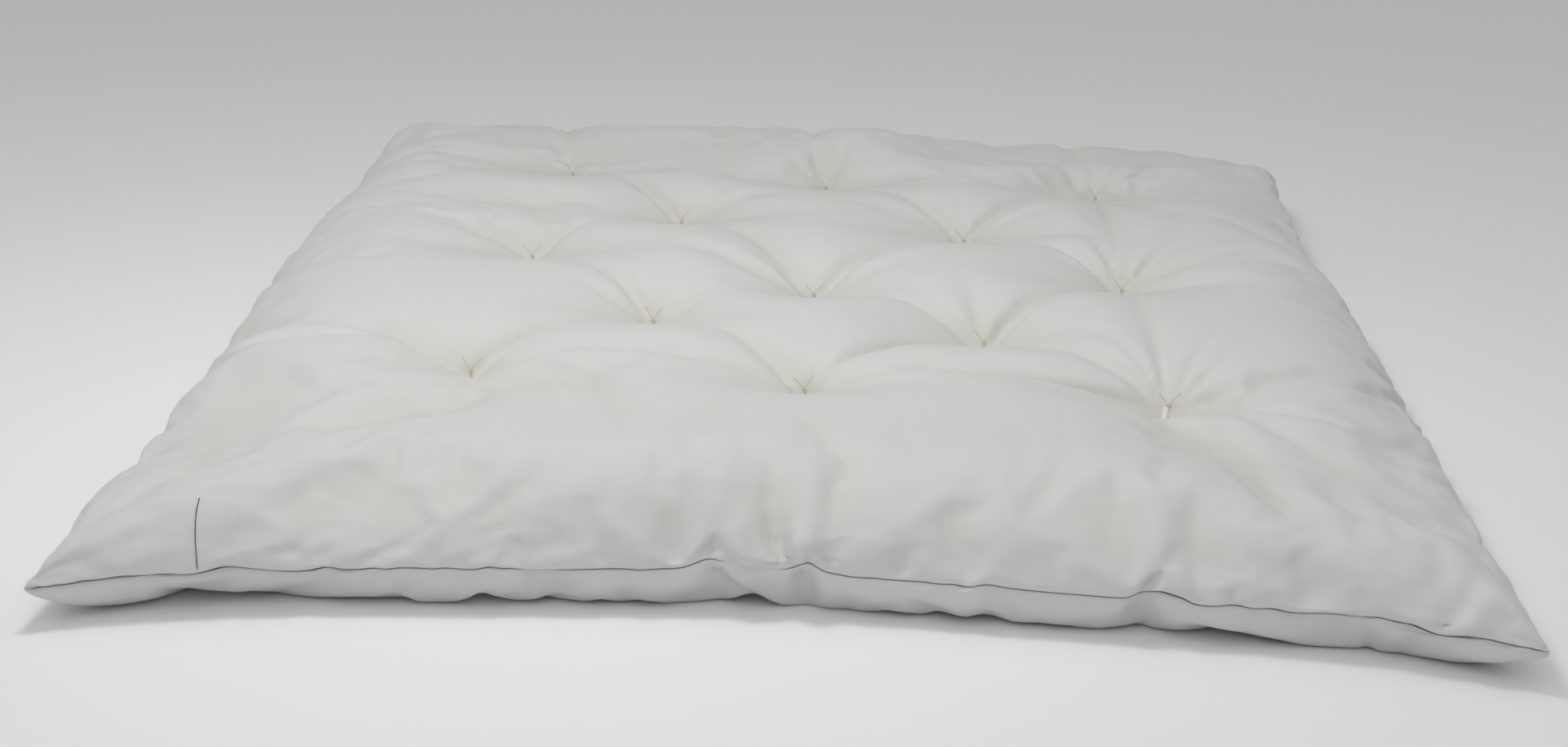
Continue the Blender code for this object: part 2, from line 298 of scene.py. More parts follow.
strand = twisted_strand()
dark_thread = Finish("dark_thread", {"Sheen Weight": 0.15, "IOR": 1.5})
dark_thread.fibrous((0.060, 0.068, 0.095, 1), (0.022, 0.024, 0.034, 1), 0.55, 0.00004)
thread_path = eased(thread_route, 4)
loose_thread = grown(
    "loose_thread", add_paths("loose_thread_path", [thread_path]), strand, dark_thread.material,
    ply_radius=thread_diameter * 0.27, lay_radius=thread_diameter * 0.23, turn_length=0.0032, step=0.0003,
)
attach(loose_thread, "root")
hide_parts("loose_thread_end")

# ---- Casing, shaped by its filling ----------------------------------------------------------------
# Two panels of unbleached cotton, sewn face to face and turned, so one plain seam runs low round the
# flank. The stuffing domes both panels, the twine pulls them together at thirteen places, and the
# slack in the cloth gathers into creases between the tufts and puckers along the seam.
cell = 0.0105                   # side of a cloth grid cell
seam_cell = 0.004               # the first cell beside the seam
half_width = cad_bounds[1].x
half_length = cad_bounds[1].y
crown = 0.119                   # floor to the crown between the tufts, before the cloth puffs up
seam_level = 0.043
end_pull = 0.085                # the middle of each end draws in this far from its corners
side_pull = 0.016
flank_run, flank_arc = 0.200, 0.240     # across the floor, and along the cloth, from seam to crown
under_run, under_arc = 0.070, 0.088
band_cells = 13                 # of the under panel that are free to move in the simulation
tuft_level = 0.087              # top cloth at a tuft
under_tuft_level = 0.016
dimple_reach = 0.22             # from a tuft to where its dimple ends
valley_half_width = 0.11

tuft_nodes = sorted(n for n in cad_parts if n.startswith("tuft_twine"))
tufts = [((low.x + high.x) / 2, (low.y + high.y) / 2) for low, high in map(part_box, tuft_nodes)]
front_left, front_middle, front_right = 0, 1, 2
second_left, second_right = 3, 4
third_left, third_middle, third_right = 5, 6, 7
fourth_left, fourth_right = 8, 9
back_left, back_middle, back_right = 10, 11, 12

# Valleys the twine pulls between neighbouring tufts, and how much of a tuft's depth they keep midway.
valleys = (
    (front_left, second_left, 0.60), (front_middle, second_left, 0.62),
    (front_middle, second_right, 0.50), (front_right, second_right, 0.62),
    (second_left, third_left, 0.50), (second_left, third_middle, 0.42),
    (second_right, third_middle, 0.60), (second_right, third_right, 0.50),
    (third_left, fourth_left, 0.35), (third_middle, fourth_left, 0.65),
    (third_middle, fourth_right, 0.55), (third_right, fourth_right, 0.55),
    (fourth_left, back_left, 0.65), (fourth_left, back_middle, 0.35),
    (fourth_right, back_middle, 0.60), (fourth_right, back_right, 0.50),
    (front_left, front_middle, 0.30), (front_middle, front_right, 0.34),
    (front_right, third_right, 0.30), (third_right, back_right, 0.32),
)
# Creases that run from a tuft out towards the edges: way points, depth and half width in metres.
creases = (
    ((tufts[front_left], (-0.50, -0.375), (-0.63, -0.385)), 0.009, 0.040),
    ((tufts[front_right], (0.47, -0.52), (0.57, -0.63)), 0.013, 0.060),
    ((tufts[front_right], (0.47, -0.43), (0.58, -0.38)), 0.008, 0.050),
    ((tufts[front_middle], (-0.05, -0.55), (-0.11, -0.70)), 0.007, 0.045),
    ((tufts[third_right], (0.47, 0.17), (0.57, 0.26), (0.66, 0.24)), 0.018, 0.070),
    ((tufts[third_right], (0.45, 0.22), (0.50, 0.36)), 0.009, 0.050),
    ((tufts[third_left], (-0.47, 0.20), (-0.56, 0.27)), 0.007, 0.060),
    (((-0.55, 0.44), (-0.64, 0.42), (-0.69, 0.40)), 0.022, 0.070),
    ((tufts[back_left], (-0.40, 0.76), (-0.43, 0.93)), 0.010, 0.045),
    ((tufts[back_middle], (-0.03, 0.76), (-0.06, 0.90)), 0.007, 0.040),
    ((tufts[back_right], (0.36, 0.74), (0.34, 0.88)), 0.007, 0.040),
    ((tufts[back_right], (0.46, 0.70), (0.56, 0.80)), 0.010, 0.055),
    ((tufts[back_right], (0.47, 0.60), (0.60, 0.62)), 0.009, 0.055),
)

seam_peaks = ((-0.066, 0.008, 0.030), (0.020, 0.006, 0.018), (0.345, 0.004, 0.020), (0.590, -0.003, 0.020))


def spaced(half):
    """Grid lines across one cut panel: one narrow cell at each seam and even cells between."""
    inner = half - seam_cell
    return np.concatenate([[-half], np.linspace(-inner, inner, 2 * round(inner / cell) + 1), [half]])


def inset_and_rise(m, arc, run, half, cut_half):
    """Where cloth at m from the seam lies: how far in from the seam, and its share of the rise."""
    angle = np.minimum(m / arc, 1) * np.pi / 2
    spread = (half - run) / (cut_half - arc)
    return run * (1 - np.cos(angle)) + np.maximum(m - arc, 0) * spread, np.sin(angle)


def panel_plan(arc, run):
    """Plan grid of one panel, and the share of its full rise at every grid point."""
    inset_x, rise_x = inset_and_rise(cut_half_width - abs(cut_x), arc, run, half_width, cut_half_width)
    inset_y, rise_y = inset_and_rise(cut_half_length - abs(cut_y), arc, run, half_length, cut_half_length)
    x = np.sign(cut_x) * (half_width - inset_x)
    y = np.sign(cut_y) * (half_length - inset_y)
    x, y = np.meshgrid(x, y, indexing="ij")
    return x, y, (rise_x[:, None] * rise_y[None, :]) ** 0.8


left_fullness, right_fullness = 0.040, 0.012
right_step, right_step_from = 0.008, 0.26
front_notch = 0.026


def bell(value, middle, wide):
    """1 in the middle, fading to nothing a couple of widths away."""
    return np.exp(-(((value - middle) / wide) ** 2))


def drawn_in(x, y):
    """The flat outline moved to where the stuffing pulls it: fuller down both sides, notched in the
    middle of the front end, and stepped in on the right behind the fold."""
    u, v = x / half_width, y / half_length
    left = (u < 0) * u**4 * left_fullness * bell(v, 0.30, 0.65)
    before_step = np.exp(-np.clip((y - right_step_from) / 0.012, -30, 30))
    right = (u > 0) * u**4 * right_step / (1 + before_step) * (1 - v**8)
    right -= (u > 0) * u**4 * right_fullness * bell(v, -0.15, 0.45)
    notch = (v < 0) * v**4 * front_notch * bell(x, -0.02, 0.20)
    return (
        x - side_pull * u**5 * (1 - v**4) - left - right,
        y - end_pull * v**5 * (1 - u**4) + notch,
    )


def distance_along(x, y, points):
    """Distance to a broken line, and the share of its length at the nearest place."""
    points = np.array(points, float)
    lengths = np.linalg.norm(np.diff(points, axis=0), axis=1)
    near, share = np.full(x.shape, 9.0), np.zeros(x.shape)
    for k, (start, end) in enumerate(zip(points, points[1:])):
        run = end - start
        along = np.clip(((x - start[0]) * run[0] + (y - start[1]) * run[1]) / (run @ run), 0, 1)
        off = np.hypot(x - start[0] - along * run[0], y - start[1] - along * run[1])
        closer = off < near
        near = np.where(closer, off, near)
        share = np.where(closer, (lengths[:k].sum() + along * lengths[k]) / lengths.sum(), share)
    return near, share


def depth_below_crown(x, y):
    """How far the cloth lies below the crown: pillows that meet in sharp valleys."""
    tuft_depth = crown - tuft_level
    depth = np.zeros_like(x)
    for tx, ty in tufts:
        near = np.maximum(1 - np.hypot(x - tx, y - ty) / dimple_reach, 0)
        depth = np.maximum(depth, tuft_depth * near**2.2)
    for start, end, kept in valleys:
        off, along = distance_along(x, y, (tufts[start], tufts[end]))
        sag = kept + (1 - kept) * abs(2 * along - 1) ** 2.2
        depth = np.maximum(depth, tuft_depth * sag * np.maximum(1 - off / valley_half_width, 0) ** 2)
    for points, deep, wide in creases:
        off, along = distance_along(x, y, points)
        depth = np.maximum(depth, deep * (1 - along**2) * np.maximum(1 - off / wide, 0) ** 1.6)
    return depth


def seam_line(x, y):
    """The seam's height: nearly level, lifted where the cloth of the front end bunches."""
    level = seam_level - 0.003 * (x / half_width) ** 4 * (y / half_length) ** 4
    for place, lift, wide in seam_peaks:
        level = level + (y < -0.5) * lift * bell(x, place, wide)
    return level


def sheet_faces(index):
    """Quads between the grid points of a panel that have a number."""
    corners = [index[:-1, :-1], index[1:, :-1], index[1:, 1:], index[:-1, 1:]]
    quads = np.stack(corners, -1).reshape(-1, 4)
    return quads[quads.min(axis=1) >= 0]


cut_half_width = half_width - flank_run + flank_arc
cut_half_length = half_length - flank_run + flank_arc
cut_x, cut_y = spaced(cut_half_width), spaced(cut_half_length)

# The top panel, then the under panel, which meets the top's edge along the seam.
x, y, rise = panel_plan(flank_arc, flank_run)
rise += 0.8 * rise * (1 - rise) * np.clip((y - 0.50) / 0.3, 0, 1)   # the back flank is steeper
seam = seam_line(x, y)
back_swell = 0.020 * bell(y, 0.80, 0.22) * (1 - 0.4 * x / half_width)
front_fall = 0.006 * bell(y, -0.64, 0.16)
top = np.stack(
    [*drawn_in(x, y), seam + (crown - seam) * rise + (back_swell - front_fall) * rise**2], -1
)
top[..., 2] -= depth_below_crown(top[..., 0], top[..., 1]) * rise**2
x, y, rise = panel_plan(under_arc, under_run)
under = np.stack([*drawn_in(x, y), seam * (1 - rise)], -1)
tuft_pull, under_dimple = 0.04, 0.07    # reach of a tuft's pull sideways, and of a dimple underneath
for place in tufts:
    for panel, level in ((top, tuft_level), (under, under_tuft_level)):
        near = np.hypot(*(panel[..., :2] - place).transpose(2, 0, 1))
        nearest = np.unravel_index(near.argmin(), near.shape)
        panel[..., :2] += (place - panel[nearest][:2]) * bell(near, 0, tuft_pull)[..., None]
        if panel is under:
            panel[..., 2] += level * np.maximum(1 - near / under_dimple, 0) ** 2
        panel[nearest][2] = level

i, j = np.indices(seam.shape)
from_edge = np.minimum(np.minimum(i, i.max() - i), np.minimum(j, j.max() - j))
top_index = np.arange(seam.size).reshape(seam.shape)
banded = (from_edge > 0) & (from_edge <= band_cells)
under_index = np.where(from_edge == 0, top_index, -1)
under_index[banded] = seam.size + np.arange(banded.sum())


def settle(points, faces, hold, slack, pressure, frames):
    """Lets slack cloth buckle and puff over its filling; returns where every point went."""
    cloth = add_mesh("cloth", points, [], faces)
    group = cloth.vertex_groups.new(name="hold")
    for weight in np.unique(hold):
        group.add(np.flatnonzero(hold == weight).tolist(), float(weight), "REPLACE")
    modifier = cloth.modifiers.new("Cloth", "CLOTH")
    settings = modifier.settings
    settings.quality = 5
    settings.mass = 0.01
    settings.tension_stiffness = 40
    settings.compression_stiffness = 20
    settings.shear_stiffness = 5
    settings.bending_stiffness = 0.10
    settings.vertex_group_mass = "hold"
    settings.shrink_min = -slack
    settings.use_pressure = True
    settings.uniform_pressure_force = pressure
    settings.effector_weights.gravity = 0
    modifier.collision_settings.use_collision = False
    modifier.point_cache.frame_end = frames + 1
    for number in range(1, frames + 1):
        bpy.context.scene.frame_set(number)
    evaluated = cloth.evaluated_get(bpy.context.evaluated_depsgraph_get())
    settled = np.array([v.co[:] for v in evaluated.to_mesh().vertices])
    bpy.context.scene.frame_set(1)
    bpy.data.objects.remove(cloth)
    return settled


# How firmly the filling holds the cloth where it was laid; 1 is fixed.
top_hold, seam_hold, under_hold = 0.05, 0.30, 0.12
furthest = 0.022                # that any point may move
cone_base, cone_slope = 0.001, 0.62     # of the cloth round a tuft: above the tuft, and behind it
cone_softness, cone_reach = 0.005, 0.25
lifted_hem = 0.014              # of the under panel's front edge, where the end is notched

start = np.vstack([top.reshape(-1, 3), under[banded]])
hold = np.full(len(start), top_hold)
hold[top_index[from_edge <= 1]] = seam_hold
hold[seam.size:] = under_hold
hold[under_index[from_edge == band_cells]] = 1
for place in tufts:
    hold[np.hypot(*(start[: seam.size, :2] - place).T).argmin()] = 1
faces = np.vstack([sheet_faces(top_index), sheet_faces(under_index)[:, ::-1]])
move = settle(start, faces, hold, slack=0.052, pressure=0.4, frames=22) - start
length = np.linalg.norm(move, axis=1, keepdims=True)
move *= furthest * np.tanh(length / furthest) / np.maximum(length, 1e-9)
settled = start + move
settled[:, 2] = np.maximum(settled[:, 2], 0)
top = settled[: seam.size].reshape(top.shape)
# The twine holds a cone of cloth down round each tuft, less steep in front than behind it.
for place in tufts:
    beyond_x, beyond_y = top[..., 0] - place[0], top[..., 1] - place[1]
    away = np.hypot(beyond_x, beyond_y) + 1e-6
    slope = cone_slope - (0.36 + 0.07 * place[1]) * np.clip(0.5 - beyond_y / away, 0, 1)
    over = (top[..., 2] - tuft_level - cone_base - slope * away) / cone_softness
    top[..., 2] -= cone_softness * np.log1p(np.exp(np.clip(over, -30, 30))) * (away < cone_reach)
under[banded] = settled[seam.size:]
under[from_edge == 0] = top[from_edge == 0]
notched = bell(under[..., 0], -0.030, 0.018) * bell(under[..., 1], -0.80, 0.045)
under[..., 2] += lifted_hem * notched

# ---- Casing panels ----------------------------------------------------------------------------------
# Each panel is one piece of 0.8 mm cloth. Along the seam it turns in sharply, and 12 mm of it lies flat
# against the other panel's allowance inside.
cloth_thickness = 0.0008
half_groove = 0.0004            # from the seam's middle to either allowance
turned_in = ((0.0010, 0.0006), (0.005, 0.0004), (0.012, 0.0004))   # inset, and height off the middle
# Puckers on the front flank: place along the seam, place at the far end, reach up the cloth, depth
# (less than nothing for a ridge) and half width.
top_puckers = (
    (-0.440, -0.452, 0.07, 0.0050, 0.012), (-0.325, -0.318, 0.06, 0.0050, 0.010),
    (-0.166, -0.186, 0.12, 0.0080, 0.012), (-0.135, -0.150, 0.08, -0.0045, 0.015),
    (-0.098, -0.114, 0.12, 0.0080, 0.012), (-0.070, -0.060, 0.11, 0.0090, 0.013),
    (-0.040, -0.045, 0.12, -0.0070, 0.016), (0.000, -0.022, 0.16, 0.0190, 0.012),
    (0.017, 0.008, 0.09, -0.0100, 0.014), (0.040, 0.060, 0.10, 0.0080, 0.014),
    (0.105, 0.112, 0.08, 0.0065, 0.012), (0.243, 0.247, 0.07, 0.0050, 0.012),
    (0.330, 0.362, 0.10, 0.0095, 0.012), (0.350, 0.385, 0.06, -0.0035, 0.014),
    (0.406, 0.412, 0.05, 0.0045, 0.011), (0.470, 0.478, 0.05, 0.0030, 0.012),
    (0.516, 0.525, 0.07, 0.0050, 0.012), (0.588, 0.640, 0.16, 0.0100, 0.014),
    (0.604, 0.650, 0.12, -0.0050, 0.016),
)
under_puckers = (
    (-0.470, -0.462, 0.05, 0.0040, 0.012), (-0.375, -0.390, 0.05, 0.0045, 0.011),
    (-0.300, -0.286, 0.05, 0.0040, 0.012), (-0.230, -0.236, 0.05, 0.0045, 0.010),
    (-0.150, -0.140, 0.05, 0.0040, 0.012), (-0.072, -0.028, 0.07, 0.0090, 0.012),
    (-0.052, -0.012, 0.07, -0.0050, 0.014), (0.014, 0.024, 0.07, 0.0090, 0.011),
    (0.036, 0.040, 0.06, -0.0050, 0.013), (0.110, 0.100, 0.05, 0.0035, 0.012),
    (0.200, 0.212, 0.05, 0.0040, 0.012), (0.333, 0.322, 0.06, 0.0065, 0.012),
    (0.420, 0.430, 0.05, 0.0045, 0.011), (0.510, 0.498, 0.05, 0.0040, 0.012),
    (0.575, 0.570, 0.05, 0.0050, 0.012),
)


def edge_loop(index):
    """Grid points round a panel's edge, in order."""
    return np.concatenate([index[:-1, 0], index[-1, :-1], index[:0:-1, -1], index[0, :0:-1]])


def set_values(obj, name, kind, values):
    """Keeps one value for every point of a mesh."""
    field = {"FLOAT": "value", "FLOAT_VECTOR": "vector"}[kind]
    layer = obj.data.attributes.new(name, kind, "POINT")
    layer.data.foreach_set(field, np.asarray(values, np.float32).ravel())


def evened(height, reach):
    """Mean height over a square patch round every grid point."""
    for _ in range(2):
        padded = np.pad(height, ((reach, reach), (0, 0)), mode="edge")
        height = np.mean([padded[k:k + height.shape[0]] for k in range(2 * reach + 1)], axis=0).T
    return height


def as_plain(obj):
    """Replaces an object's mesh by what its modifiers make of it."""
    evaluated = obj.evaluated_get(bpy.context.evaluated_depsgraph_get())
    plain = bpy.data.meshes.new_from_object(evaluated)
    obj.modifiers.clear()
    obj.data = plain


def eased_to_thread(points, faces, reach):
    """How the cloth has to move for the loose thread to rest on it."""
    beside = np.flatnonzero(np.linalg.norm(points - thread_path[len(thread_path) // 2], axis=1) < 0.2)
    known = np.zeros(len(points), bool)
    known[beside] = True
    local = faces[known[faces].all(axis=1)]
    surface = BVHTree.FromPolygons(points.tolist(), local.tolist())
    route = thread_path[2::4]
    found = [surface.find_nearest(Vector(place)) for place in route]
    normals = np.array([normal for _, normal, _, _ in found])
    nearest = np.array([near for near, _, _, _ in found])
    gaps = ((route - nearest) * normals).sum(axis=1)
    away = np.linalg.norm(points[beside, None] - route[None], axis=2)
    weight = np.exp(-((away / reach) ** 2))
    shift = (weight @ (normals * (gaps - thread_diameter * 0.6)[:, None])) / np.maximum(
        weight.sum(axis=1, keepdims=True), 1e-9
    )
    moves = np.zeros_like(points)
    moves[beside] = shift * weight.max(axis=1, keepdims=True)
    return moves


# Small folds that fan out from the tufts: tuft, direction in degrees, reach and depth in metres.
fans = (
    (back_right, 118, 0.17, 0.0045), (back_right, 92, 0.19, 0.0050), (back_right, 66, 0.20, 0.0055),
    (back_right, 46, 0.19, 0.0045), (back_right, 24, 0.17, 0.0040), (back_right, 150, 0.12, 0.0030),
    (third_right, 128, 0.20, 0.0055), (third_right, 104, 0.18, 0.0050), (third_right, 78, 0.22, 0.0060),
    (third_right, 58, 0.22, 0.0050), (third_right, 36, 0.20, 0.0050), (third_right, 152, 0.14, 0.0035),
    (third_right, -28, 0.16, 0.0035), (front_right, 112, 0.22, 0.0055), (front_right, 92, 0.24, 0.0060),
    (front_right, 66, 0.20, 0.0045), (front_right, 44, 0.18, 0.0045), (front_right, 12, 0.18, 0.0040),
    (front_right, -60, 0.14, 0.0035), (front_right, -128, 0.13, 0.0030), (second_right, 126, 0.18, 0.0050),
    (second_right, 98, 0.16, 0.0045), (second_right, 62, 0.16, 0.0045), (second_right, 152, 0.12, 0.0035),
    (fourth_right, 122, 0.15, 0.0045), (fourth_right, 96, 0.14, 0.0040), (fourth_right, 58, 0.15, 0.0040),
    (third_middle, 132, 0.15, 0.0040), (third_middle, 96, 0.12, 0.0030), (third_middle, 52, 0.15, 0.0040),
    (back_middle, 108, 0.16, 0.0045), (back_middle, 74, 0.15, 0.0040), (back_middle, 140, 0.10, 0.0030),
    (fourth_left, 128, 0.14, 0.0040), (fourth_left, 76, 0.11, 0.0030), (back_left, 112, 0.17, 0.0050),
    (back_left, 84, 0.12, 0.0035), (back_left, 152, 0.12, 0.0035), (second_left, 118, 0.13, 0.0040),
    (second_left, 160, 0.12, 0.0035), (second_left, 64, 0.11, 0.0030), (third_left, 150, 0.12, 0.0030),
    (third_left, 62, 0.12, 0.0030), (front_left, 142, 0.14, 0.0035), (front_left, 172, 0.15, 0.0035),
    (front_left, 66, 0.11, 0.0030), (front_left, -70, 0.10, 0.0025), (front_middle, -120, 0.15, 0.0050),
    (front_middle, -92, 0.10, 0.0035), (front_middle, 138, 0.12, 0.0030), (front_middle, 70, 0.12, 0.0030),
)


fan_strength = 1.5              # of the depths above, once the cloth is drawn tight
valley_crease, valley_crease_half_width = 0.010, 0.018


def fanned(places):
    """How deep the small folds round the tufts and along the valleys press into the cloth."""
    push = np.zeros(len(places))
    for tuft, degrees, reach, deep in fans:
        off, along = places[:, :2].T - np.array(tufts[tuft])[:, None]
        toward = math.radians(degrees)
        off, along = (
            math.cos(toward) * along - math.sin(toward) * off,
            math.cos(toward) * off + math.sin(toward) * along,
        )
        share = np.clip(along / reach, 0, 1)
        shape = np.maximum(1 - abs(off) / (0.007 + 0.014 * share), 0) ** 1.2
        push -= fan_strength * deep * shape * np.clip(along / 0.03, 0, 1) * (1 - share) ** 1.1
    for start, end, kept in valleys:
        off, along = distance_along(places[:, 0], places[:, 1], (tufts[start], tufts[end]))
        sharp = valley_crease * kept * (0.35 + 0.65 * abs(2 * along - 1) ** 1.5)
        push -= sharp * np.maximum(1 - off / valley_crease_half_width, 0) ** 1.5
    return push


def cloth_shell(name, panel, side, puckers):
    """One panel with its allowance turned in, smoothed, puckered and given the cloth's thickness."""
    loop = edge_loop(top_index)
    points = [panel.reshape(-1, 3)]
    cut = [np.stack([*np.meshgrid(cut_x, cut_y, indexing="ij"), np.zeros(seam.shape)], -1).reshape(-1, 3)]
    edge_plan = np.stack([outline_x.ravel()[loop], outline_y.ravel()[loop]], -1)
    edge = points[0][loop].copy()
    points[0][loop] += (0, 0, side * turned_in[0][1] * 1.6)
    faces = [sheet_faces(top_index)[:, ::side]]
    previous = loop
    for number, (inset, off) in enumerate(turned_in):
        shrunk = edge_plan * (1 - inset / half_width, 1 - inset / half_length)
        ring = edge.copy()
        ring[:, :2] += np.stack(drawn_in(*shrunk.T), -1) - np.stack(drawn_in(*edge_plan.T), -1)
        ring[:, 2] += side * off
        numbers = seam.size + number * len(loop) + np.arange(len(loop))
        quads = np.stack([previous, numbers, np.roll(numbers, -1), np.roll(previous, -1)], -1)
        faces.append(quads[:, ::side])
        points.append(ring)
        cut.append(cut[0][loop] * (1 + inset))
        previous = numbers
    shell = add_mesh(name, np.vstack(points), [], np.vstack(faces))
    set_values(shell, "cut", "FLOAT_VECTOR", np.vstack(cut))
    # Painted shade mask: how far the cloth lies below the mean height round it, used to darken the colour in
    # the hollows.
    hollow_shade = np.clip((evened(panel[..., 2], 7) - panel[..., 2]) * side / 0.012, 0, 1) * (from_edge > 6)
    hollow_shade = np.concatenate([hollow_shade.ravel(), np.zeros(len(loop) * len(turned_in))])
    set_values(shell, "hollow_shade", "FLOAT", hollow_shade)
    smooth = shell.modifiers.new("Smooth", "SUBSURF")
    smooth.levels = smooth.render_levels = 1
    as_plain(shell)

    mesh = shell.data
    places, normals, cuts = (np.empty(3 * len(mesh.vertices), np.float32) for _ in range(3))
    mesh.vertices.foreach_get("co", places)
    mesh.vertices.foreach_get("normal", normals)
    mesh.attributes["cut"].data.foreach_get("vector", cuts)
    places, normals, cuts = (a.reshape(-1, 3) for a in (places, normals, cuts))
    up_cloth = cuts[:, 1] + cut_half_length
    push = fanned(places) if side > 0 else np.zeros(len(places))
    for near_seam, far_end, reach, deep, wide in puckers:
        share = np.clip(up_cloth / reach, 0, 1)
        off = (places[:, 0] - near_seam - (far_end - near_seam) * share) / (wide * (1 + share))
        fade = (1 - share) ** 0.8 * np.clip(up_cloth / 0.012, 0, 1)
        push -= deep * fade * np.maximum(1 - abs(off), 0) ** (1.4 if deep > 0 else 1) * (up_cloth > 0)
    places += normals * push[:, None]
    if side > 0:
        polygons = np.empty(4 * len(mesh.polygons), np.int32)
        mesh.polygons.foreach_get("vertices", polygons)
        for _ in range(3):
            places += eased_to_thread(places, polygons.reshape(-1, 4), 0.014)
    places[:, 2] = np.maximum(places[:, 2], 0)
    mesh.vertices.foreach_set("co", places.ravel())
    wall = shell.modifiers.new("Cloth", "SOLIDIFY")
    wall.thickness = cloth_thickness
    wall.offset = -1
    as_plain(shell)
    shell.data.shade_smooth()
    return shell


# The cloth stands a little proud of the stitched line on both sides of it.
outline_x, outline_y = panel_plan(flank_arc, flank_run)[:2]
for panel in (top, under):
    for depth_in, proud in ((1, 0.0016), (2, 0.0012), (3, 0.0005)):
        ring = from_edge == depth_in
        outward = np.stack([np.maximum(abs(outline_x) - half_width + 0.05, 0) * np.sign(outline_x),
                            np.maximum(abs(outline_y) - half_length + 0.05, 0) * np.sign(outline_y)], -1)
        outward /= np.maximum(np.linalg.norm(outward, axis=-1, keepdims=True), 1e-6)
        panel[ring, :2] += proud * outward[ring]
for _ in range(4):
    flat = top.reshape(-1, 3)
    top = (flat + eased_to_thread(flat, sheet_faces(top_index), 0.035)).reshape(top.shape)
casing_top = cloth_shell("casing_top", top.copy(), 1, top_puckers)
casing_under = cloth_shell("casing_under", under.copy(), -1, under_puckers)


# Plain weave about 24 threads to the centimetre, with thicker threads here and there, a slightly greyer or
# warmer cast in places, fine creases left from folding, and painted olive-grey shade darkening the hollows
# between the pillows.
calico = Finish("casing_cotton", {"Sheen Weight": 0.25, "Sheen Roughness": 0.45, "IOR": 1.45})
thread_pair = 0.00084           # two neighbouring threads of the weave
cut_place = calico.node("ShaderNodeAttribute", {"attribute_name": "cut"}, {}, "Vector")
across, along = (
    calico.node("ShaderNodeSeparateXYZ", {}, {"Vector": cut_place}, axis) * (math.tau / thread_pair)
    for axis in "XY"
)
weave = across.joined("SINE", across) * along.joined("SINE", along)
warp_slubs = calico.noise(cut_place, 1.0, 1.0, (900, 14, 1))
weft_slubs = calico.noise(cut_place, 1.0, 1.0, (14, 900, 1))
broad = calico.noise(cut_place, 3.2, 3.0)
rumple = calico.noise(cut_place, 16.0, 4.0)
hollow_shade = calico.node("ShaderNodeAttribute", {"attribute_name": "hollow_shade"}, {}, "Fac")
tone = calico.mixed(broad, (0.722, 0.722, 0.708, 1), (0.738, 0.727, 0.706, 1))
tone = calico.mixed((warp_slubs + weft_slubs) * 0.5, tone, (0.694, 0.690, 0.668, 1))
# Painted shade: the cloth colour is pulled darker and olive wherever it lies in a hollow.
tone = calico.mixed(hollow_shade * 0.7, tone, (0.655, 0.645, 0.575, 1))
height = weave * 0.00006 + (warp_slubs + weft_slubs) * 0.00010 + rumple * 0.0016
calico.feed(calico.shader, {
    "Base Color": tone,
    "Roughness": 0.66 + 0.10 * broad,
    "Normal": calico.bump(height, 1.0, 0.8),
})
for piece, node in ((casing_top, "casing_top_panel"), (casing_under, "casing_under_panel")):
    piece.data.materials.append(calico.material)
    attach(piece, "root")
    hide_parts(node)

# ---- Batting layers -------------------------------------------------------------------------------
# Six sheets of felted raw cotton laid on each other inside the casing. They thin out near the seam,
# and the twine passes through a small opening in each.
layer_count = 6
casing_room = 0.006             # between the casing and the outermost sheets
edge_room = 0.014               # the same beside the seam, under the puckers
layer_gap = 0.0006
twine_opening = 0.0052


def fewer(count):
    """Every other grid line, the same at both ends, clear of the seam."""
    first = 8 + (count - 1) % 2
    return np.arange(first, count - first + 1, 2)


def lowest_near(height):
    """The least height among a point and its neighbours."""
    padded = np.pad(height, 1, mode="edge")
    shifts = [padded[a:a + height.shape[0], b:b + height.shape[1]] for a in range(3) for b in range(3)]
    return np.min(shifts, axis=0)


inner_top, inner_under = top.copy(), under.copy()
deep_inside = from_edge > 12
inner_top[..., 2] = np.where(deep_inside, lowest_near(top[..., 2]), top[..., 2])
inner_under[..., 2] = np.where(deep_inside, -lowest_near(-under[..., 2]), under[..., 2])
picked = np.ix_(fewer(len(cut_x)), fewer(len(cut_y)))
inner_top, inner_under = inner_top[picked], inner_under[picked]
through = inner_top - inner_under
thickness_here = np.linalg.norm(through, axis=-1, keepdims=True)
room = np.where(from_edge[picked] < 14, edge_room, casing_room)[..., None] / thickness_here
inner_under = inner_under + through * room
inner_top = inner_top - through * room
corner_index = np.arange(inner_top[..., 0].size).reshape(inner_top.shape[:2])

felt = Finish("cotton_batting", {"Sheen Weight": 0.3, "IOR": 1.45})
place = felt.node("ShaderNodeTexCoord", {}, {}, "Object")
tufty = felt.noise(place, 35.0, 6.0)
fibres = felt.noise(place, 420.0, 4.0)
seed_flecks = felt.noise(place, 90.0, 1.0) ** 9.0
felt.feed(felt.shader, {
    "Base Color": felt.mixed(
        seed_flecks * 3.0, felt.mixed(tufty, (0.74, 0.71, 0.62, 1), (0.82, 0.80, 0.73, 1)),
        (0.35, 0.27, 0.17, 1),
    ),
    "Roughness": 0.88 + 0.10 * fibres,
    "Normal": felt.bump(tufty * 0.8 + fibres * 0.2, 0.004),
})


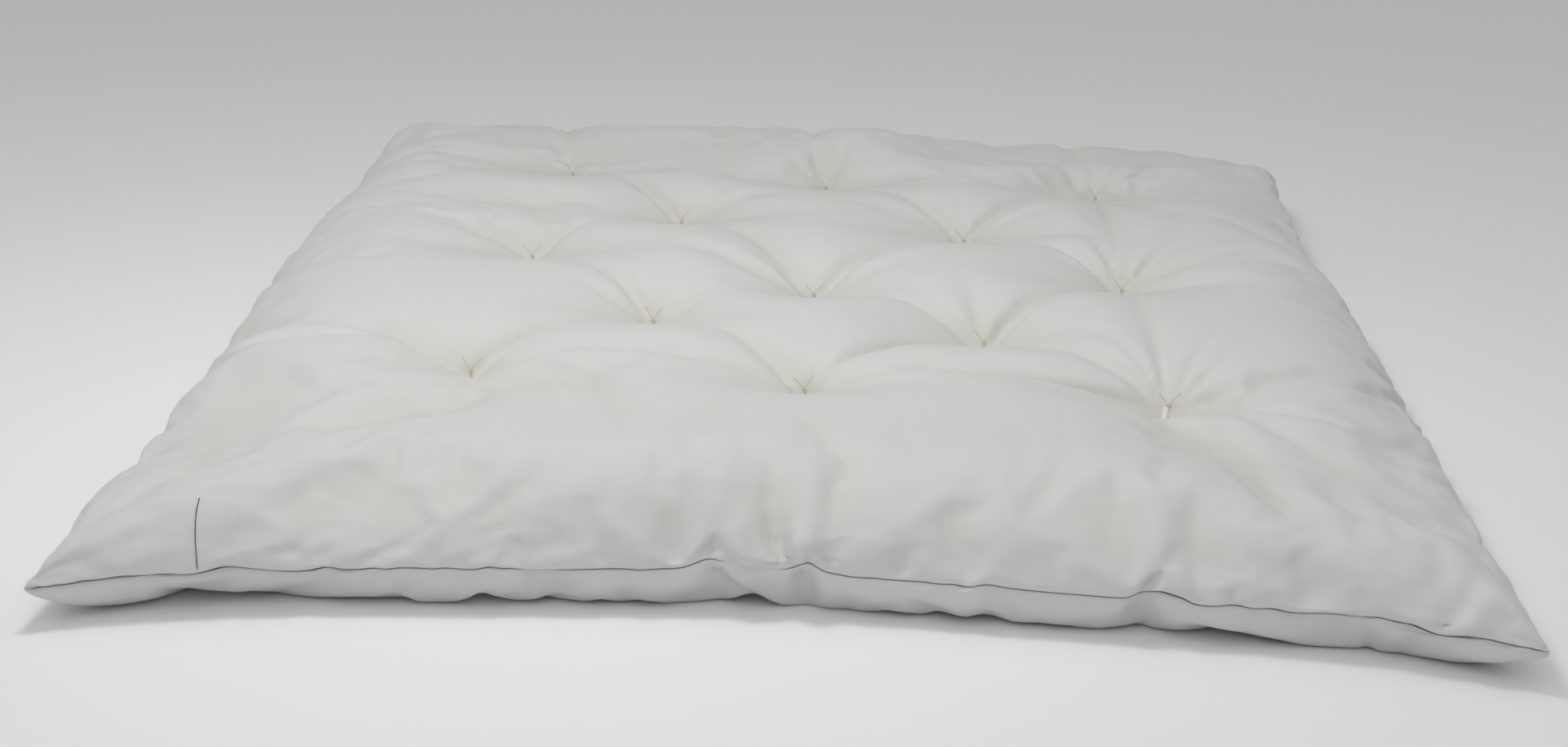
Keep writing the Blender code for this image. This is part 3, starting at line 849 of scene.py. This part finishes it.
def batting_layer(number):
    """One closed sheet between two levels of the filling, open where the twine passes."""
    bm = bmesh.new()
    sheets = []
    for share, sign in ((number / layer_count, 1), ((number + 1) / layer_count, -1)):
        surface = inner_under + (inner_top - inner_under) * share
        surface = surface.reshape(-1, 3) + (0, 0, sign * layer_gap / 2)
        sheets.append([bm.verts.new(p) for p in surface])
    low, high = sheets
    rims = []
    quads = sheet_faces(corner_index)
    middles = inner_top.reshape(-1, 3)[quads].mean(axis=1)[:, :2]
    opened = {int(np.hypot(*(middles - tuft).T).argmin()): tuft for tuft in tufts}
    for index, quad in enumerate(quads.tolist()):
        if index not in opened:
            bm.faces.new([high[n] for n in quad])
            bm.faces.new([low[n] for n in reversed(quad)])
            continue
        for sheet, flip in ((high, 1), (low, -1)):
            corners = [sheet[n] for n in quad]
            level = sum(v.co.z for v in corners) / 4
            middle = sum((v.co for v in corners), Vector()) / 4
            hole = [
                bm.verts.new((
                    opened[index][0] + math.copysign(twine_opening / 2, v.co.x - middle.x),
                    opened[index][1] + math.copysign(twine_opening / 2, v.co.y - middle.y), level,
                ))
                for v in corners
            ]
            for a in range(4):
                b = (a + 1) % 4
                bm.faces.new([corners[a], corners[b], hole[b], hole[a]][::flip])
            rims.append(hole)
    for high_hole, low_hole in zip(rims[::2], rims[1::2]):
        for a in range(4):
            b = (a + 1) % 4
            bm.faces.new([high_hole[a], high_hole[b], low_hole[b], low_hole[a]])
    loop = edge_loop(corner_index).tolist()
    for a, b in zip(loop, loop[1:] + loop[:1]):
        bm.faces.new([high[b], high[a], low[a], low[b]])
    mesh = bpy.data.meshes.new(f"batting_{number + 1}")
    bm.to_mesh(mesh)
    bm.free()
    mesh.shade_smooth()
    layer = bpy.data.objects.new(mesh.name, mesh)
    bpy.context.scene.collection.objects.link(layer)
    layer.data.materials.append(felt.material)
    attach(layer, "root")
    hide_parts(f"batting_layer_{number + 1}")


for number in range(layer_count):
    batting_layer(number)

# ---- Tufting twine --------------------------------------------------------------------------------
# Waxed cotton twine goes up and down through the mattress at each tuft, is drawn tight, tied in a
# small round knot on the cloth and cut off with two short tails. A second knot holds it underneath.
knot_size = 0.0010
knot_seat = 0.0038              # middle of the knot above the cloth
strand_apart = 0.0009
tail_length = 0.020
twine_sizes = {"ply_radius": 0.00036, "lay_radius": 0.00032, "turn_length": 0.0034, "step": 0.0005}

waxed_twine = Finish("tufting_twine", {"Sheen Weight": 0.1, "IOR": 1.45, "Coat Roughness": 0.5})
waxed_twine.fibrous((0.80, 0.79, 0.72, 1), (0.66, 0.64, 0.56, 1), 0.60, 0.00005)


def knot_turns(height, start, stop, steps):
    """Three lobes that pass over and under each other, as in a drawn-up knot."""
    t = np.linspace(start, stop, steps)
    return knot_size * np.stack([
        np.sin(t) + 1.75 * np.sin(2 * t), np.cos(t) - 1.75 * np.cos(2 * t), -1.3 * np.sin(3 * t),
    ], -1) + (0, 0, height)


chance = np.random.default_rng(7)
for node, (tuft_x, tuft_y) in zip(tuft_nodes, tufts):
    turn = chance.uniform(-0.35, 0.35)
    knot = knot_turns(knot_seat, 0.35, math.tau - 0.35, 40)
    tails = []
    for side, end in ((-1, knot[0]), (1, knot[-1])):
        rise = math.radians(56 + chance.uniform(-8, 8))
        reach = tail_length * chance.uniform(0.92, 1.0)
        out, up = reach * math.cos(rise), reach * math.sin(rise)
        tip = np.array([side * out, 0.1 * side * reach, knot_seat + up])
        bend = end + (tip - end) * 0.45 + (0.0012 * side, 0, 0.0012)
        tails.append(eased([end, end + (bend - end) * 0.4, bend, tip], 10))
    drop = tuft_level - under_tuft_level
    loop = eased([
        (-strand_apart, 0, -drop - 0.003), (-strand_apart, 0, -drop * 0.5), (-strand_apart, 0, 0),
        (-strand_apart, 0.0006, knot_seat * 0.8), (0, 0.0010, knot_seat + 0.0018),
        (strand_apart, 0.0006, knot_seat * 0.8), (strand_apart, 0, 0), (strand_apart, 0, -drop * 0.5),
        (strand_apart, 0, -drop - 0.003),
    ], 10)
    under_knot = knot_turns(-drop - knot_seat, 0.1, math.tau - 0.1, 40)
    across = np.array([[math.cos(turn), math.sin(turn), 0], [-math.sin(turn), math.cos(turn), 0], [0, 0, 1]])
    paths = [
        path @ across + (tuft_x, tuft_y, tuft_level)
        for path in (np.vstack([tails[0][::-1], knot[1:-1], tails[1]]), loop, under_knot)
    ]
    twine = grown(
        node.replace("tuft_twine", "twine"), add_paths("twine_path", paths), strand,
        waxed_twine.material, **twine_sizes,
    )
    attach(twine, "root")
    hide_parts(node)

# ---- Seam and closing threads -----------------------------------------------------------------------
# The seam is machine sewn 8 mm inside the fold with a needle thread above and a bobbin thread below
# that lock together between the cloths. The filling opening in the back end is closed by hand with
# whip stitches over the edge.
stitch_line = 0.008
stitch_length = 0.004
sewing_radius = 0.0003
lock_rise = half_groove + cloth_thickness + sewing_radius
whip_half = 0.234               # half the closed opening
whip_pitch = 0.0075
whip_radius = (0.0030, 0.0045)  # out over the edge, and up and down

sewing_thread = Finish("sewing_thread", {"Sheen Weight": 0.15, "IOR": 1.5})
sewing_thread.fibrous((0.72, 0.71, 0.66, 1), (0.55, 0.54, 0.49, 1), 0.50, 0.00003)


def lockstitch():
    """One thread that runs along its path and dips to the middle of the seam at every stitch."""
    tree, given = new_tree("lockstitch", ("Stitch Length", "Rise", "Radius"))
    curve = add_node(tree, "GeometryNodeMeshToCurve", {}, {"Mesh": given["Path"]})[0]
    step = calculated(tree, "DIVIDE", given["Stitch Length"], 6.0)
    curve = add_node(
        tree, "GeometryNodeResampleCurve", {"mode": "LENGTH"}, {"Curve": curve, "Length": step}
    )[0]
    length = add_node(tree, "GeometryNodeSplineParameter", {}, {})["Length"]
    stitch = calculated(tree, "DIVIDE", length, given["Stitch Length"])
    phase = calculated(tree, "MULTIPLY", stitch, math.pi)
    swell = calculated(tree, "MULTIPLY", calculated(tree, "ABSOLUTE", calculated(tree, "SINE", phase)), 1.7)
    lift = calculated(tree, "MULTIPLY", calculated(tree, "MINIMUM", swell, 1.0), given["Rise"])
    offset = add_node(tree, "ShaderNodeCombineXYZ", {}, {"Z": lift})[0]
    placed = add_node(tree, "GeometryNodeSetPosition", {}, {"Geometry": curve, "Offset": offset})[0]
    profile = add_node(
        tree, "GeometryNodeCurvePrimitiveCircle", {}, {"Resolution": 5, "Radius": given["Radius"]}
    )[0]
    tube = add_node(tree, "GeometryNodeCurveToMesh", {}, {"Curve": placed, "Profile Curve": profile})[0]
    close_tree(tree, tube, given["Finish"])
    return tree


loop = edge_loop(top_index)
edge = top.reshape(-1, 3)[loop]
edge_plan = np.stack([outline_x.ravel()[loop], outline_y.ravel()[loop]], -1)
shrunk = edge_plan * (1 - stitch_line / half_width, 1 - stitch_line / half_length)
inside = edge.copy()
inside[:, :2] += np.stack(drawn_in(*shrunk.T), -1) - np.stack(drawn_in(*edge_plan.T), -1)
stitches = lockstitch()
for name, rise in (("needle_thread", lock_rise), ("bobbin_thread", -lock_rise)):
    offset = (0, 0, math.copysign(sewing_radius, rise))
    thread = grown(
        name, add_paths("seam_path", [inside + offset], closed=True), stitches, sewing_thread.material,
        stitch_length=stitch_length, rise=rise, radius=sewing_radius,
    )
    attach(thread, "root")
    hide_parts("seam_" + name)

back = edge[(edge[:, 1] > 0.5) & (abs(edge[:, 0]) < whip_half + 0.03)]
back = back[np.argsort(back[:, 0])]
turns = 2 * whip_half / whip_pitch
angle = np.linspace(0, math.tau * turns, int(turns * 24))
along_edge = np.linspace(-whip_half, whip_half, len(angle))
whip = np.stack([
    along_edge,
    np.interp(along_edge, back[:, 0], back[:, 1]) - 0.0005 + whip_radius[0] * np.cos(angle),
    np.interp(along_edge, back[:, 0], back[:, 2]) + whip_radius[1] * np.sin(angle),
], -1)
closing = grown(
    "closing_stitches", add_paths("whip_path", [whip]), strand, sewing_thread.material,
    ply_radius=0.00026, lay_radius=0.00022, turn_length=0.0030, step=0.0007,
)
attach(closing, "root")
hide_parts("closing_thread")

# ---- Floor and light ---------------------------------------------------------------------------
# A plain pale floor in a white room, with a small lamp overhead and to the left for the folds, a
# larger one in front and a wide ceiling panel.
bpy.ops.mesh.primitive_plane_add(size=30)
floor = bpy.context.object
floor.name = "floor"
paint = bpy.data.materials.new("floor_paint")
paint.use_nodes = True
paint.node_tree.nodes["Principled BSDF"].inputs["Base Color"].default_value = (0.92, 0.92, 0.92, 1)
floor.data.materials.append(paint)
world = bpy.data.worlds.new("studio")
world.use_nodes = True
world.node_tree.nodes["Background"].inputs["Color"].default_value = (1, 1, 1, 1)
world.node_tree.nodes["Background"].inputs["Strength"].default_value = 0.35
bpy.context.scene.world = world
bpy.context.scene.view_settings.view_transform = "Standard"
for name, place, aim, size, power in (
    ("overhead", (-0.42, -0.45, 1.7), (0, 0, 0), 0.45, 10),
    ("front", (-0.2, -2.8, 2.0), (0, 0, 0), 1.8, 12),
    ("ceiling", (0, 0.5, 6.0), (0, 0.5, 0), 10.0, 100),
):
    lamp = bpy.data.objects.new(name, bpy.data.lights.new(name, "AREA"))
    lamp.data.size = size
    lamp.data.energy = power
    lamp.location = place
    lamp.rotation_euler = (Vector(aim) - Vector(place)).to_track_quat("-Z", "Y").to_euler()
    bpy.context.scene.collection.objects.link(lamp)
